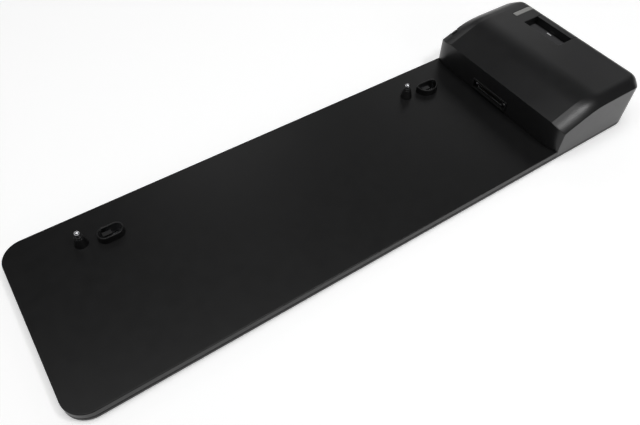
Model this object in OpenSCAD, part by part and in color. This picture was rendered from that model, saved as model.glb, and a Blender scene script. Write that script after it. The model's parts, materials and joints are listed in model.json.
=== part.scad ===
// Laptop docking station: a thin tray with a raised connector housing at its right-hand end.
// X runs along the tray towards the housing, Y from the user's side to the rear, Z up.
// The origin is the centre of the plan, on the surface the feet stand on.

/* [Overall] */
// Length from the tray's free end to the housing's outer end
dock_l = 410; // [404:1:420]
// Depth from the front edge to the rear edge
dock_d = 121; // [120:0.5:124]
// Height of the housing above the table
dock_h = 38; // [38:0.5:39]
// Height of the tray's upper face
tray_h = 8.2; // [8.2:0.1:8.6]
// Radius of the tray's two free corners, seen from above
tray_corner_r = 14; // [10:1:18]

/* [Housing] */
// Length of the housing along the dock
housing_l = 78.5; // [78:0.5:80]
// Height of the housing's inner wall, where the slope starts
wall_top = 28; // [27:0.5:29]
// Angle of the slope above the inner wall
slope_a = 20.5; // [18:0.5:22]
// Radius that blends the slope into the flat top
crest_r = 60; // [40:5:80]
// Radius of the rounded outer top edge
end_edge_r = 8; // [6:1:9]
// Radius of the housing's outer corners, seen from above
housing_corner_r = 12; // [10:1:13]
// Radius of the rolled edges along the front, the rear and the wall's ends
roll_r = 18; // [16:1:20]
// Thickness of the housing's skin
skin_t = 2; // [1.8:0.1:2.2]

/* [Tray] */
// Thickness of the tray's upper plate
plate_t = 1.7; // [1.5:0.1:1.8]
// Thickness of the shells' side walls
side_t = 1.6; // [1.4:0.1:2]
// Height of the seam between base and cover
seam_z = 3.5; // [3.3:0.1:3.6]

/* [Alignment posts and latches] */
// Distance from the left post to the dock's centre
post_left_x = -162; // [-164:0.5:-160]
// Distance from the right post to the dock's centre
post_right_x = 79.5; // [78:0.5:82]
// Distance of both posts behind the centre line
post_y = 38.7; // [38:0.1:39]
// Radius of the steel post where it guides the computer
post_r = 1.75; // [1.6:0.05:1.9]
// Height of the posts above the table
post_top = 19.2; // [18.8:0.1:19.6]
// Distance from the left latch collar to the dock's centre
latch_left_x = -145; // [-146:0.5:-144]
// Distance from the right latch collar to the dock's centre
latch_right_x = 97; // [96:0.5:98]
// Height of the latch collars above the table
collar_top = 12.8; // [12.4:0.1:13]

/* [Motion] */
// Travel of the slider and of the docking connector
slide_travel = 8; // [8:1:8]
// Travel of the power button
button_travel = 0.8; // [0.5:0.1:0.8]

/* [Hidden] */
$fn = 48;
arc_steps = 10;
air = 0.15;

front_y = -dock_d / 2;
rear_y = dock_d / 2;
left_x = -dock_l / 2;
right_x = dock_l / 2;
wall_x = right_x - housing_l;

// Heights in the tray
floor_z = 0.8;
floor_top = 2;
foot_h = 1.4;
cover_z = seam_z + 0.25;
plate_z = tray_h - plate_t;
cup_top = 3.4;

// Rolled edges: angle swept at the front and at the rear
front_roll_a = 40;
rear_roll_a = 44;
wall_roll_a = 34;

// Where the tray cover ends under the housing's wall
tray_end_x = wall_x + 3.5;

// Latches
latch_y = 35.2;
bar_z = [3.4, 4.6];
bar_y = [31, 39];
bar_jog_x = [118, 124];
bar_jog_y = [29.2, 33.2];
hook_y = [34, 37];
collar_rim = 1.3;
collar_left = [16.2, 9.8];
collar_right = [19.4, 10.8];
sleeve_r = 4.1;
sleeve_bore = 1.3;

// Slide mechanism
rod_r = 1.5;
rod_z = 13.5;
rod_y = [-17.4, 24.6];
rod_x = [wall_x + 4.5, wall_x + 59.5];
rod_clear = 0.05;
bush_r = 2.6;
connector_y = 3.6;
connector_z = 13.5;
detent_x = rod_x[0] + 27;
pivot = [wall_x + 23.5, 20];
drive_arm = 20;
latch_arm = 10;
lever_a = atan(slide_travel / 2 / drive_arm);
lever_z = [5.6, 7.2];
link_pin_r = 1.2;
drive_pin = [pivot[0] + slide_travel / 2, pivot[1] - drive_arm];
latch_pin = [pivot[0] - slide_travel / 4, pivot[1] + latch_arm];

// Slider on the top of the housing
slider_y = [-2, 31];
cap_x = right_x - 10.7;
pocket_x = right_x - 24.5;
pocket_z = dock_h - 6.1;
pocket_floor = 1.2;
well_wall = 1.5;
well_low_z = dock_h - 11.6;
well_step_x = cap_x + 0.5;
skirt_z = dock_h - 10;

// Power button
button_x = [right_x - 23.4, right_x - 4.4];
button_y = [40, 44];
button_stem = [189, 42];

// Circuit boards
board_t = 1.6;
board_z = 3.6;
board_top = board_z + board_t;
riser_z = 19.2;
riser_top = riser_z + 1.2;

// Ports in the rear face
rear_window = [[137, 5], [190.5, 29.5]];
vga_x = 154;
vga_z = 11.6;
vga_nut_pitch = 25;
vga_hole_r = 1.4;
network_x = 180.5;
network_z = [5.2, 18.6];
display_x = [147, 167.5];
display_z = riser_top + 3.8;
power_x = 183.5;
power_z = riser_top + 4.3;
power_r = 3.75;

// Ports in the right-hand face
side_window = [[-49, 5], [-1.5, 14.5]];
usb_y = [-28, -10];
usb_z = board_top + 3.6;
audio_y = -43.5;
audio_z = 9.6;
audio_r = 1.75;
lock_y = 42;
lock_z = 11;

// Fasteners: one screw under each of these points
tray_bosses = [for (x = [-180, -70, 50, 118]) for (s = [-1, 1]) [x, s * 51]];
housing_bosses = [[137, -51], [187, -51], [194.5, 50], [133.6, 48]];
board_bosses = [[147, -53], [172, -53], [197, 8], [197, 30], [136, 38]];
standoffs = [[141, 39.5], [171, 38], [191.5, 41]];
feet = [for (x = [-190, -10, 188]) for (s = [-1, 1]) [x, s * 40]];

// ---- helpers ----

// Box from its lowest to its highest corner
module block(low, high) {
    translate(low) cube(high - low);
}

// Upright round bar
module post(at, r, z0, z1) {
    translate([at[0], at[1], z0]) cylinder(r = r, h = z1 - z0);
}

// Round bar along X
module rod_along_x(x0, x1, y, z, r) {
    translate([x0, y, z]) rotate([0, 90, 0]) cylinder(r = r, h = x1 - x0);
}

// Round bar along Y
module rod_along_y(x, y0, y1, z, r) {
    translate([x, y1, z]) rotate([90, 0, 0]) cylinder(r = r, h = y1 - y0);
}

// Turns a flat shape into a slab between two heights
module slab(z0, z1) {
    translate([0, 0, z0]) linear_extrude(z1 - z0) children();
}

// Extrudes a shape drawn in X and Z along Y
module along_y(y0, y1) {
    translate([0, y1, 0]) rotate([90, 0, 0]) linear_extrude(y1 - y0) children();
}

// Extrudes a shape drawn in Y and Z along X
module along_x(x0, x1) {
    translate([x0, 0, 0]) rotate([90, 0, 90]) linear_extrude(x1 - x0) children();
}

// Points of an arc round a centre
function arc(c, r, a0, a1) =
    [for (i = [0:arc_steps]) let (a = a0 + (a1 - a0) * i / arc_steps)
        [c[0] + r * cos(a), c[1] + r * sin(a)]];

// Rectangle with one corner radius at its left end and one at its right end
module rounded_plan(x0, x1, y0, y1, rl, rr) {
    polygon(concat(
        arc([x1 - rr, y1 - rr], rr, 90, 0), arc([x1 - rr, y0 + rr], rr, 0, -90),
        arc([x0 + rl, y0 + rl], rl, -90, -180), arc([x0 + rl, y1 - rl], rl, 180, 90)));
}

// Flat slot shape with round ends, along X
module stadium(l, w) {
    square([l - w, w], center = true);
    for (s = [-1, 1]) translate([s * (l - w) / 2, 0]) circle(d = w);
}

// Half-moon with a straight rear edge
module half_moon(l, w, inset) {
    r = (pow(l / 2, 2) + pow(w - 2, 2)) / (2 * (w - 2));
    intersection() {
        translate([0, r - w / 2]) circle(r = r - inset);
        translate([-l / 2 + inset / 2, -w / 2]) square([l - inset, w - inset]);
    }
}

// ---- outer skin of the housing, at any depth t below its surface ----

module skin_side(t) {
    low = wall_top + t * tan(slope_a) - t / cos(slope_a);
    meet_x = wall_x + (dock_h - t - wall_top + t / cos(slope_a)) / tan(slope_a);
    r = crest_r - t;
    polygon(concat(
        [[wall_x + t, 0], [wall_x + t, low]],
        arc([meet_x + r * tan(slope_a / 2), dock_h - t - r], r, 90 + slope_a, 90),
        arc([right_x - end_edge_r, dock_h - end_edge_r], end_edge_r - t, 90, 0),
        [[right_x - t, 0]]));
}

// Angle at which a rolled edge meets the face beside it
function roll_end(a, t) = asin((roll_r * sin(a) - t) / (roll_r - t));

module skin_end(t) {
    front_c = front_y + roll_r * sin(front_roll_a);
    rear_c = rear_y - roll_r * sin(rear_roll_a);
    polygon(concat(
        [[front_y + t, 0]],
        arc([front_c, dock_h - roll_r], roll_r - t, 90 + roll_end(front_roll_a, t), 90),
        arc([rear_c, dock_h - roll_r], roll_r - t, 90, 90 - roll_end(rear_roll_a, t)),
        [[rear_y - t, 0]]));
}

module skin_plan(t) {
    r = roll_r - t;
    end_a = roll_end(wall_roll_a, t);
    roll_y = roll_r * sin(wall_roll_a);
    polygon(concat(
        arc([right_x - housing_corner_r, rear_y - housing_corner_r],
            housing_corner_r - t, 90, 0),
        arc([right_x - housing_corner_r, front_y + housing_corner_r],
            housing_corner_r - t, 0, -90),
        arc([wall_x + roll_r, front_y + roll_y], r, 180 + end_a, 180),
        arc([wall_x + roll_r, rear_y - roll_y], r, 180, 180 - end_a)));
}

module skin(t) {
    intersection() {
        along_y(front_y - 1, rear_y + 1) skin_side(t);
        along_x(wall_x - 1, right_x + 1) skin_end(t);
        slab(0, dock_h) skin_plan(t);
    }
}

// Plan of the whole dock, inset by t
module dock_plan(t) {
    rounded_plan(left_x + t, right_x - t, front_y + t, rear_y - t,
        tray_corner_r - t, housing_corner_r - t);
}

// Plan of the tray cover, inset by t at its free edges
module tray_plan(t, end_x) {
    intersection() {
        dock_plan(t);
        translate([left_x, front_y]) square([end_x - left_x, dock_d]);
    }
}

// ---- shells ----

module base_shell() color([0.07, 0.07, 0.08]) {
    bar_pads = [-110, -30, 30, 112];
    difference() {
        union() {
            difference() {
                slab(floor_z, seam_z) dock_plan(0);
                slab(floor_top, seam_z + 1) dock_plan(side_t);
            }
            for (p = concat(tray_bosses, housing_bosses)) post(p, 4, floor_z, cup_top);
            for (p = board_bosses) post(p, 3, floor_z + 0.5, board_z);
            for (x = bar_pads) {
                block([x - 3, bar_y[0] - 1.2, floor_top - 0.5],
                    [x + 3, bar_y[1] + 1.2, bar_z[0] - 0.05]);
                for (y = [bar_y[0] - 1.2, bar_y[1] + 0.2])
                    block([x - 3, y, floor_top], [x + 3, y + 1, bar_z[1] + 0.2]);
            }
        }
        for (p = concat(tray_bosses, housing_bosses)) {
            post(p, 2.4, floor_z - 1, 2.2);
            post(p, 1.4, 0, cup_top + 1);
        }
        for (p = board_bosses) post(p, 1.1, floor_top, board_z + 1);
        for (p = feet) post(p, 6.6, floor_z - 1, foot_h);
        for (i = [0:5]) block([144 + 6 * i, -46, 0], [147 + 6 * i, -28, floor_top + 1]);
    }
}

module tray_cover() color([0.09, 0.09, 0.1]) {
    difference() {
        union() {
            difference() {
                slab(cover_z, tray_h) tray_plan(0, tray_end_x);
                slab(cover_z - 1, plate_z) tray_plan(side_t, tray_end_x + 10);
            }
            for (p = tray_bosses) post(p, 2.8, cup_top + 0.05, plate_z + 0.5);
            for (x = [-110, -30, 30, 112])
                block([x - 2, bar_y[0] + 1, bar_z[1] + 0.2],
                    [x + 2, bar_y[1] - 1, plate_z + 0.5]);
        }
        for (p = tray_bosses) post(p, 1.25, 0, plate_z);
        for (x = [post_left_x, post_right_x]) post([x, post_y], sleeve_r + 0.05, 0, tray_h + 1);
        slab(0, tray_h + 1) translate([latch_left_x, latch_y])
            stadium(collar_left[0] + 0.1, collar_left[1] + 0.1);
        slab(0, tray_h + 1) translate([latch_right_x, latch_y])
            half_moon(collar_right[0] + 0.1, collar_right[1] + 0.1, 0);
    }
}

module housing_cover() color([0.1, 0.1, 0.11]) {
    open_y = [slider_y[0] - air, slider_y[1] + air];
    difference() {
        union() {
            difference() {
                skin(0);
                skin(skin_t);
                // open underside, and the step that rests on the tray cover
                block([wall_x - 5, front_y - 5, -1], [right_x + 5, rear_y + 5, cover_z]);
                block([wall_x - 5, front_y - 5, 0],
                    [tray_end_x + 0.1, rear_y + 5, tray_h + 0.1]);
            }
            intersection() {
                skin(skin_t / 2);
                for (p = housing_bosses) post(p, 3, cup_top + 0.05, dock_h);
            }
            for (p = [[178.1, 42], [191, 35.6]]) post(p, 2, 30.8, dock_h - skin_t / 2);
        }
        for (p = housing_bosses) post(p, 1.25, 0, 12);
        // windows for the bezel, the ports and the lock slot
        block([wall_x - 1, connector_y - 16.1, connector_z - 3.75],
            [wall_x + skin_t + 1, connector_y + 16.1, connector_z + 3.75]);
        block([rear_window[0][0], rear_y - skin_t - 1, rear_window[0][1]],
            [rear_window[1][0], rear_y + 1, rear_window[1][1]]);
        block([right_x - skin_t - 1, side_window[0][0], side_window[0][1]],
            [right_x + 1, side_window[1][0], side_window[1][1]]);
        block([right_x - skin_t - 1, lock_y - 5, lock_z - 3],
            [right_x + 1, lock_y + 5, lock_z + 3]);
        // slider opening and button opening
        block([pocket_x, open_y[0], dock_h - 6], [right_x + 1, open_y[1], dock_h + 1]);
        block([right_x - skin_t - 1, open_y[0], skirt_z - air],
            [right_x + 1, open_y[1], dock_h + 1]);
        block([button_x[0] - air, button_y[0] - air, dock_h - 6],
            [button_x[1] + air, button_y[1] + air, dock_h + 1]);
    }
}

module rubber_feet() color([0.15, 0.15, 0.15])
    for (p = feet) post(p, 6.5, 0, foot_h);

module case_screws() color("silver")
    for (p = concat(tray_bosses, housing_bosses)) difference() {
        union() {
            post(p, 2.2, floor_z + 0.1, 2.2);
            post(p, 1.2, 2.1, p[0] < wall_x ? 6.2 : 11);
        }
        for (a = [0, 90]) translate([p[0], p[1], floor_z]) rotate([0, 0, a])
            block([-1.4, -0.3, -0.5], [1.4, 0.3, 0.7]);
    }

module stiffener_plate() color([0.55, 0.56, 0.58]) difference() {
    block([left_x + 22, -43, floor_top], [wall_x - 8, 25, floor_top + 1]);
    for (x = [-150, -75, 0, 75]) slab(floor_top - 1, floor_top + 2)
        translate([x, -9]) stadium(44, 26);
}

// ---- alignment posts and latch collars ----

module post_sleeve(x) difference() {
    union() {
        post([x, post_y], sleeve_r + 1.4, plate_z - 1.2, plate_z);
        post([x, post_y], sleeve_r, plate_z - 0.1, tray_h);
        translate([x, post_y, tray_h])
            cylinder(r1 = sleeve_r, r2 = sleeve_r - 1.3, h = post_top - 4.6 - tray_h);
        post([x, post_y], 2.5, post_top - 4.7, post_top - 3.4);
    }
    post([x, post_y], sleeve_bore, 0, post_top);
}

module align_post(x) {
    post([x, post_y], sleeve_bore, plate_z - 1.2, post_top - 3.3);
    post([x, post_y], post_r, post_top - 3.4, post_top - post_r);
    translate([x, post_y, post_top - post_r]) sphere(r = post_r);
}

module post_sleeve_left() color([0.06, 0.06, 0.07]) post_sleeve(post_left_x);
module post_sleeve_right() color([0.06, 0.06, 0.07]) post_sleeve(post_right_x);
module align_post_left() color([0.8, 0.81, 0.83]) align_post(post_left_x);
module align_post_right() color([0.8, 0.81, 0.83]) align_post(post_right_x);

module latch_collar_left() color([0.08, 0.08, 0.09]) translate([latch_left_x, latch_y])
    difference() {
        union() {
            slab(plate_z - 1.2, plate_z) stadium(collar_left[0] + 3, collar_left[1] + 3);
            slab(plate_z - 0.1, collar_top) stadium(collar_left[0], collar_left[1]);
        }
        slab(0, collar_top + 1)
            stadium(collar_left[0] - 2 * collar_rim, collar_left[1] - 2 * collar_rim);
    }

module latch_collar_right() color([0.08, 0.08, 0.09]) translate([latch_right_x, latch_y])
    difference() {
        union() {
            slab(plate_z - 1.2, plate_z) stadium(collar_right[0] + 2.4, collar_right[1] + 2.4);
            slab(plate_z - 0.1, collar_top) half_moon(collar_right[0], collar_right[1], 0);
        }
        slab(0, collar_top + 1) half_moon(collar_right[0], collar_right[1], collar_rim);
    }

// ---- connector bezel and slider well ----

module connector_bezel() color([0.05, 0.05, 0.06])
    translate([0, connector_y, connector_z]) difference() {
        union() {
            block([wall_x - 0.8, -16.6, -4.1], [wall_x, 16.6, 4.1]);
            block([wall_x - 0.1, -16, -3.65], [wall_x + skin_t + 1, 16, 3.65]);
        }
        block([wall_x - 2, -15.5, -2.9], [wall_x + skin_t + 2, 15.5, 2.9]);
    }

module slider_well() color([0.06, 0.06, 0.07]) {
    in_y = [slider_y[0] - air, slider_y[1] + air];
    out_y = [in_y[0] - well_wall, in_y[1] + well_wall];
    floor_under = pocket_z - pocket_floor;
    cover_under = dock_h - skin_t;
    riser_x = right_x - 19;
    end_x = right_x - skin_t - 0.25;
    difference() {
        union() {
            block([pocket_x - well_wall, out_y[0], floor_under],
                [right_x - end_edge_r, out_y[1], cover_under]);
            block([riser_x, out_y[0], well_low_z - well_wall],
                [end_x, out_y[1], floor_under + 0.01]);
        }
        // finger pocket above its floor
        block([pocket_x, in_y[0], pocket_z], [right_x, in_y[1], dock_h]);
        // open space that the cap's skirt and web move through
        block([riser_x + well_wall, in_y[0], well_low_z],
            [right_x, in_y[1], floor_under]);
        block([well_step_x, in_y[0], well_low_z], [right_x, in_y[1], dock_h]);
        // slot for the carriage's arm
        block([right_x - 14.6, 5.4, 0], [right_x - 2.8, 18.6, well_low_z + 1]);
    }
}

// Raised bar that marks the slider's open position
module slider_mark() color([0.85, 0.86, 0.88])
    translate([cap_x - 1.7, 15.6, 0]) block([-0.45, -2, pocket_z], [0.45, 2, pocket_z + 0.3]);

// ---- fixed frame of the slide mechanism ----

module slide_chassis() color([0.62, 0.63, 0.65]) difference() {
    union() {
        block([rod_x[0], rod_y[0] - 4, floor_top], [rod_x[1] + 2, rod_y[1] + 4, 3.2]);
        for (x = [rod_x[0], rod_x[1] - 2]) for (y = rod_y)
            block([x, y - 4, 3.1], [x + 2, y + 4, rod_z + 4]);
    }
    for (y = rod_y) rod_along_x(rod_x[0] - 1, rod_x[1] + 3, y, rod_z, rod_r);
    post(pivot, 2, 0, 4);
}

module guide_rods() color([0.75, 0.76, 0.78])
    for (y = rod_y) rod_along_x(rod_x[0], rod_x[1], y, rod_z, rod_r);

module lever_pivot_pin() color([0.75, 0.76, 0.78]) {
    post(pivot, 2, floor_top, lever_z[1] + 0.2);
    post(pivot, 3, lever_z[1] + 0.1, lever_z[1] + 0.9);
}

// Leaf that clicks into a groove under the carriage at each end of its travel
module detent_spring() color([0.7, 0.71, 0.73]) {
    x = detent_x;
    along_y(6, 12) polygon([[x + 16, 3.2], [x + 8, 3.2], [x + 1.4, 8.1], [x, 8.7],
        [x - 1.4, 8.1], [x - 1.8, 7.7], [x - 2.1, 8], [x - 1.7, 8.4], [x, 9.1],
        [x + 1.7, 8.4], [x + 8.2, 3.6], [x + 16, 3.6]]);
}

// ---- boards ----

module main_board() color([0.05, 0.3, 0.16]) difference() {
    slab(board_z, board_top) difference() {
        translate([wall_x + 4.5, front_y + 5]) square([70.5, dock_d - 9]);
        translate([wall_x + 4, rod_y[0] - 6.5]) square([58, 57.5]);
        for (s = [-1, 1]) translate([right_x - 3, s * (rear_y - 3)]) rotate(45)
            square(16, center = true);
    }
    for (p = housing_bosses) post(p, 3.5, 0, board_top + 1);
    for (p = board_bosses) post(p, 1.3, 0, board_top + 1);
}

module board_screws() color("silver") {
    for (p = board_bosses) {
        post(p, 1.05, floor_top + 0.2, board_top + 0.1);
        post(p, 2.2, board_top, board_top + 1.3);
    }
}

module riser_board() color([0.05, 0.3, 0.16]) difference() {
    union() {
        block([wall_x + 11, 36, riser_z], [190.5, 56.9, riser_top]);
        block([190, 36, riser_z], [194.5, 46, riser_top]);
    }
    for (p = standoffs) post(p, 1.1, 0, riser_top + 1);
}

module riser_standoffs() color([0.8, 0.65, 0.3])
    for (p = standoffs) {
        translate([p[0], p[1], board_top]) cylinder(r = 2.3, h = riser_z - board_top, $fn = 6);
        post(p, 1, riser_z - 0.1, riser_top + 0.4);
    }

module shield_can() color([0.72, 0.73, 0.75]) difference() {
    block([156, -50, board_top], [179, -27, board_top + 3.2]);
    block([156.4, -49.6, board_top - 1], [178.6, -27.4, board_top + 2.8]);
    for (i = [0:3]) for (j = [0:3])
        post([159.5 + 5.3 * i, -46.5 + 5.3 * j], 0.9, board_top + 2, board_top + 4);
}

// ---- rear ports ----

module d_shape(l, w) {
    slant = w * tan(10);
    r = 1.2;
    polygon(concat(
        arc([l / 2 - r, w / 2 - r], r, 90, -10), arc([l / 2 - r - slant, r - w / 2], r, -10, -90),
        arc([r + slant - l / 2, r - w / 2], r, -90, -170), arc([r - l / 2, w / 2 - r], r, 190, 90)));
}

// Turns a shape drawn in X and Z into a solid between two depths, centred on a point
module at_rear(x, z, y0, y1) {
    translate([x, 0, z]) along_y(y0, y1) children();
}

module vga_shell() color([0.72, 0.73, 0.75]) {
    difference() {
        union() {
            block([vga_x - 15.4, 54.5, board_top], [vga_x + 15.4, 56.4, 17.8]);
            at_rear(vga_x, vga_z, 56.3, rear_y - 0.3) d_shape(16.9, 8.3);
        }
        at_rear(vga_x, vga_z, 50, rear_y + 1) d_shape(15.9, 7.3);
        for (s = [-1, 1])
            rod_along_y(vga_x + s * vga_nut_pitch / 2, 50, rear_y, vga_z, vga_hole_r);
    }
    for (s = [-1, 1]) difference() {
        translate([vga_x + s * vga_nut_pitch / 2, rear_y - 0.4, vga_z]) rotate([90, 0, 0])
            cylinder(r = 2.8, h = rear_y - 0.4 - 56.3, $fn = 6);
        rod_along_y(vga_x + s * vga_nut_pitch / 2, 50, rear_y + 1, vga_z, vga_hole_r);
    }
}

module vga_insert() color([0.1, 0.13, 0.4]) difference() {
    union() {
        block([vga_x - 14, 46, board_top], [vga_x + 14, 54.4, 17.4]);
        at_rear(vga_x, vga_z, 54.3, rear_y - 1) d_shape(15.9, 7.3);
    }
    for (i = [-2:2]) for (j = [-1:1])
        rod_along_y(vga_x + 2.29 * i + (j == 0 ? 1.1 : 0), 55, rear_y, vga_z + 1.98 * j, 0.5);
    for (s = [-1, 1]) rod_along_y(vga_x + s * vga_nut_pitch / 2, 50, 55, vga_z, vga_hole_r);
}

module network_jack() color([0.7, 0.71, 0.73]) difference() {
    block([network_x - 8, 41, network_z[0]], [network_x + 8, rear_y - 0.5, network_z[1]]);
    block([network_x - 5.9, 46, network_z[0] + 1.6], [network_x + 5.9, rear_y, network_z[1] - 2.6]);
    block([network_x - 3.2, 46, network_z[1] - 3], [network_x + 3.2, rear_y, network_z[1] - 1.2]);
}

module network_contacts() color([0.85, 0.68, 0.3])
    for (i = [-3.5:3.5]) translate([network_x + 1.02 * i, 0, 0])
        block([-0.2, 46, network_z[0] + 1.7], [0.2, 56, network_z[0] + 2.2]);

// Metal receptacle with an open mouth, drawn round its own centre in X and Z
module display_shells() color([0.72, 0.73, 0.75])
    for (x = display_x) translate([x, 0, display_z]) difference() {
        block([-9.1, 42, -3.8], [9.1, rear_y - 0.6, 3.8]);
        difference() {
            block([-8.1, 50, -2.4], [8.1, rear_y, 2.4]);
            translate([-8.1, 55, 2.4]) rotate([0, 45, 0]) cube([3, 24, 3], center = true);
        }
    }

module display_tongues() color([0.08, 0.08, 0.09])
    for (x = display_x) translate([x, 0, display_z])
        block([-6.4, 50, -0.7], [6.4, 57.6, 0.7]);

module power_jack() color([0.06, 0.06, 0.07]) difference() {
    block([power_x - 4.9, 46, riser_top], [power_x + 4.9, rear_y - 0.6, riser_top + 8.8]);
    rod_along_y(power_x, 49, rear_y, power_z, power_r);
}

module power_jack_pin() color([0.8, 0.81, 0.83]) {
    rod_along_y(power_x, 49, 57.4, power_z, 0.5);
    difference() {
        rod_along_y(power_x, 49, 57, power_z, 2.5);
        rod_along_y(power_x, 49.5, 58, power_z, 2.1);
    }
}

// ---- right-hand ports ----

module usb_shells() color([0.72, 0.73, 0.75])
    for (y = usb_y) translate([0, y, usb_z]) difference() {
        block([right_x - 17, -7.2, -3.6], [right_x - 0.6, 7.2, 3.4]);
        block([right_x - 13, -6.25, -2.5], [right_x, 6.25, 2.3]);
    }

module usb_tongues() color([0.1, 0.2, 0.5])
    for (y = usb_y) translate([0, y, usb_z])
        block([right_x - 13, -5.6, 0.1], [right_x - 3, 5.6, 1.9]);

module audio_jack() color([0.06, 0.06, 0.07]) difference() {
    union() {
        block([right_x - 15, audio_y - 3.2, board_top], [right_x - 3, audio_y + 3.2, 13.6]);
        rod_along_x(right_x - 3.1, right_x - 0.6, audio_y, audio_z, 3);
    }
    rod_along_x(right_x - 13, right_x + 1, audio_y, audio_z, audio_r);
}

module rear_port_plate() color([0.08, 0.08, 0.09]) difference() {
    intersection() {
        skin(skin_t + 0.05);
        block([rear_window[0][0] - 1.5, rear_y - skin_t - 1.4, rear_window[0][1] + 0.4],
            [rear_window[1][0] + 1.5, rear_y, rear_window[1][1] + 1]);
    }
    at_rear(vga_x, vga_z, 50, rear_y) d_shape(17.3, 8.7);
    for (s = [-1, 1])
        rod_along_y(vga_x + s * vga_nut_pitch / 2, 50, rear_y, vga_z, 3);
    block([network_x - 8.1, 50, 0], [network_x + 8.1, rear_y, network_z[1] + 0.1]);
    for (x = display_x)
        block([x - 9.2, 50, display_z - 3.9], [x + 9.2, rear_y, display_z + 3.9]);
    block([power_x - 5, 50, riser_top - 0.1], [power_x + 5, rear_y, riser_top + 8.9]);
}

module side_port_plate() color([0.08, 0.08, 0.09]) difference() {
    block([right_x - skin_t - 1, side_window[0][0] + 0.5, side_window[0][1] + 0.4],
        [right_x - skin_t, side_window[1][0] + 1.5, side_window[1][1] + 1]);
    for (y = usb_y)
        block([right_x - 8, y - 7.3, 0], [right_x, y + 7.3, usb_z + 3.5]);
    rod_along_x(right_x - 8, right_x, audio_y, audio_z, 3.05);
}

module cable_lock_plate() color([0.66, 0.67, 0.69]) difference() {
    block([right_x - skin_t - 1.5, lock_y - 6.5, lock_z - 5],
        [right_x - skin_t, lock_y + 6.5, lock_z + 5]);
    block([right_x - 6, lock_y - 3.5, lock_z - 1.5], [right_x, lock_y + 3.5, lock_z + 1.5]);
}

// ---- power button ----

module button_board() color([0.05, 0.3, 0.16])
    block([175.5, 33, 29.6], [199, 47, 30.8]);

module button_switch() color([0.2, 0.2, 0.22]) difference() {
    translate([button_stem[0], button_stem[1], 0]) block([-3, -3, 30.8], [3, 3, 33.2]);
    post(button_stem, 1.4, 31.6, 34);
}

module power_button() color([0.62, 0.63, 0.66]) {
    intersection() {
        skin(0);
        block([button_x[0], button_y[0], 35.5], [button_x[1], button_y[1], dock_h]);
    }
    block([button_x[0] - 1, button_y[0] - 1.2, 34.4],
        [right_x - end_edge_r, button_y[1] + 1.2, dock_h - skin_t - 0.1]);
    post(button_stem, 1.1, 32.7, 34.5);
}

// ---- moving carriage, slider cap and docking connector ----

module connector_carriage() color([0.2, 0.2, 0.22]) {
    x0 = wall_x + 21.5;
    arm_y = [6, 18];
    difference() {
        union() {
            block([x0, rod_y[0] - 4, 8.9], [x0 + 3, rod_y[1] + 4, 17.6]);
            for (y = rod_y) block([x0 + 2.9, y - 4, 9.2], [x0 + 22, y + 4, 17.6]);
            block([x0 + 2.9, rod_y[0], 9.2], [x0 + 20, rod_y[1], 11.2]);
            block([x0 + 12, arm_y[0], 11.1], [x0 + 16, arm_y[1], 22.5]);
            block([x0 + 12, arm_y[0], 20], [right_x - 3.5, arm_y[1], 22.5]);
            block([right_x - 6, arm_y[0], 22.4], [right_x - 3.5, arm_y[1], dock_h - 9.5]);
        }
        for (y = rod_y) rod_along_x(x0 - 1, x0 + 23, y, rod_z, bush_r);
        post(drive_pin, link_pin_r, 8, 11.3);
        // detent grooves
        for (x = [detent_x, detent_x + slide_travel]) rod_along_y(x, 5, 13, 8.8, 0.9);
    }
}

module carriage_bushes() color([0.72, 0.52, 0.25])
    for (y = rod_y) for (x = [wall_x + 21.5, wall_x + 38.5]) difference() {
        rod_along_x(x, x + 5, y, rod_z, bush_r);
        rod_along_x(x - 1, x + 6, y, rod_z, rod_r + rod_clear);
    }

module carriage_drive_pin() color([0.75, 0.76, 0.78])
    post(drive_pin, link_pin_r, lever_z[0] - 0.2, 11.2);

module slider_cap() color([0.09, 0.09, 0.1]) {
    bottom = pocket_z + 0.4;
    difference() {
        intersection() {
            skin(0);
            union() {
                block([cap_x, slider_y[0], bottom], [right_x, slider_y[1], dock_h]);
                block([right_x - 1.6, slider_y[0], skirt_z], [right_x, slider_y[1], dock_h]);
            }
        }
        intersection() {
            skin(1.8);
            block([cap_x + 1.8, slider_y[0] + 1.6, 0], [right_x - 1.6, slider_y[1] - 1.6, dock_h]);
        }
    }
    block([right_x - 6, 6, dock_h - 9.5], [right_x - 1.5, 18, dock_h - 7.5]);
}

module connector_body() color([0.07, 0.07, 0.08])
    block([wall_x + 11.5, connector_y - 16.5, connector_z - 3.6],
        [wall_x + 21.5, connector_y + 16.5, connector_z + 3.6]);

module connector_shell() color([0.7, 0.71, 0.73])
    translate([0, connector_y, connector_z]) difference() {
        block([wall_x + 1.1, -12.2, -2.4], [wall_x + 11.5, 12.2, 2.4]);
        block([wall_x, -11.7, -1.9], [wall_x + 12, 11.7, 1.9]);
    }

module connector_tongue() color([0.06, 0.06, 0.07])
    translate([0, connector_y, connector_z])
        block([wall_x + 2.2, -10.9, -0.65], [wall_x + 11.5, 10.9, 0.65]);

module connector_contacts() color([0.85, 0.68, 0.3])
    translate([0, connector_y, connector_z])
        for (i = [-9.5:9.5]) for (s = [-1, 1])
            block([wall_x + 2.8, i - 0.3, s * 0.75 - 0.1], [wall_x + 11.4, i + 0.3, s * 0.75 + 0.1]);

module connector_guide_pins() color([0.8, 0.81, 0.83])
    for (s = [-1, 1]) {
        y = connector_y + s * 13.9;
        rod_along_x(wall_x + 2, wall_x + 11.5, y, connector_z, 1.2);
        translate([wall_x + 2, y, connector_z]) sphere(r = 1.2);
    }

// ---- lever and latch bar ----

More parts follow.
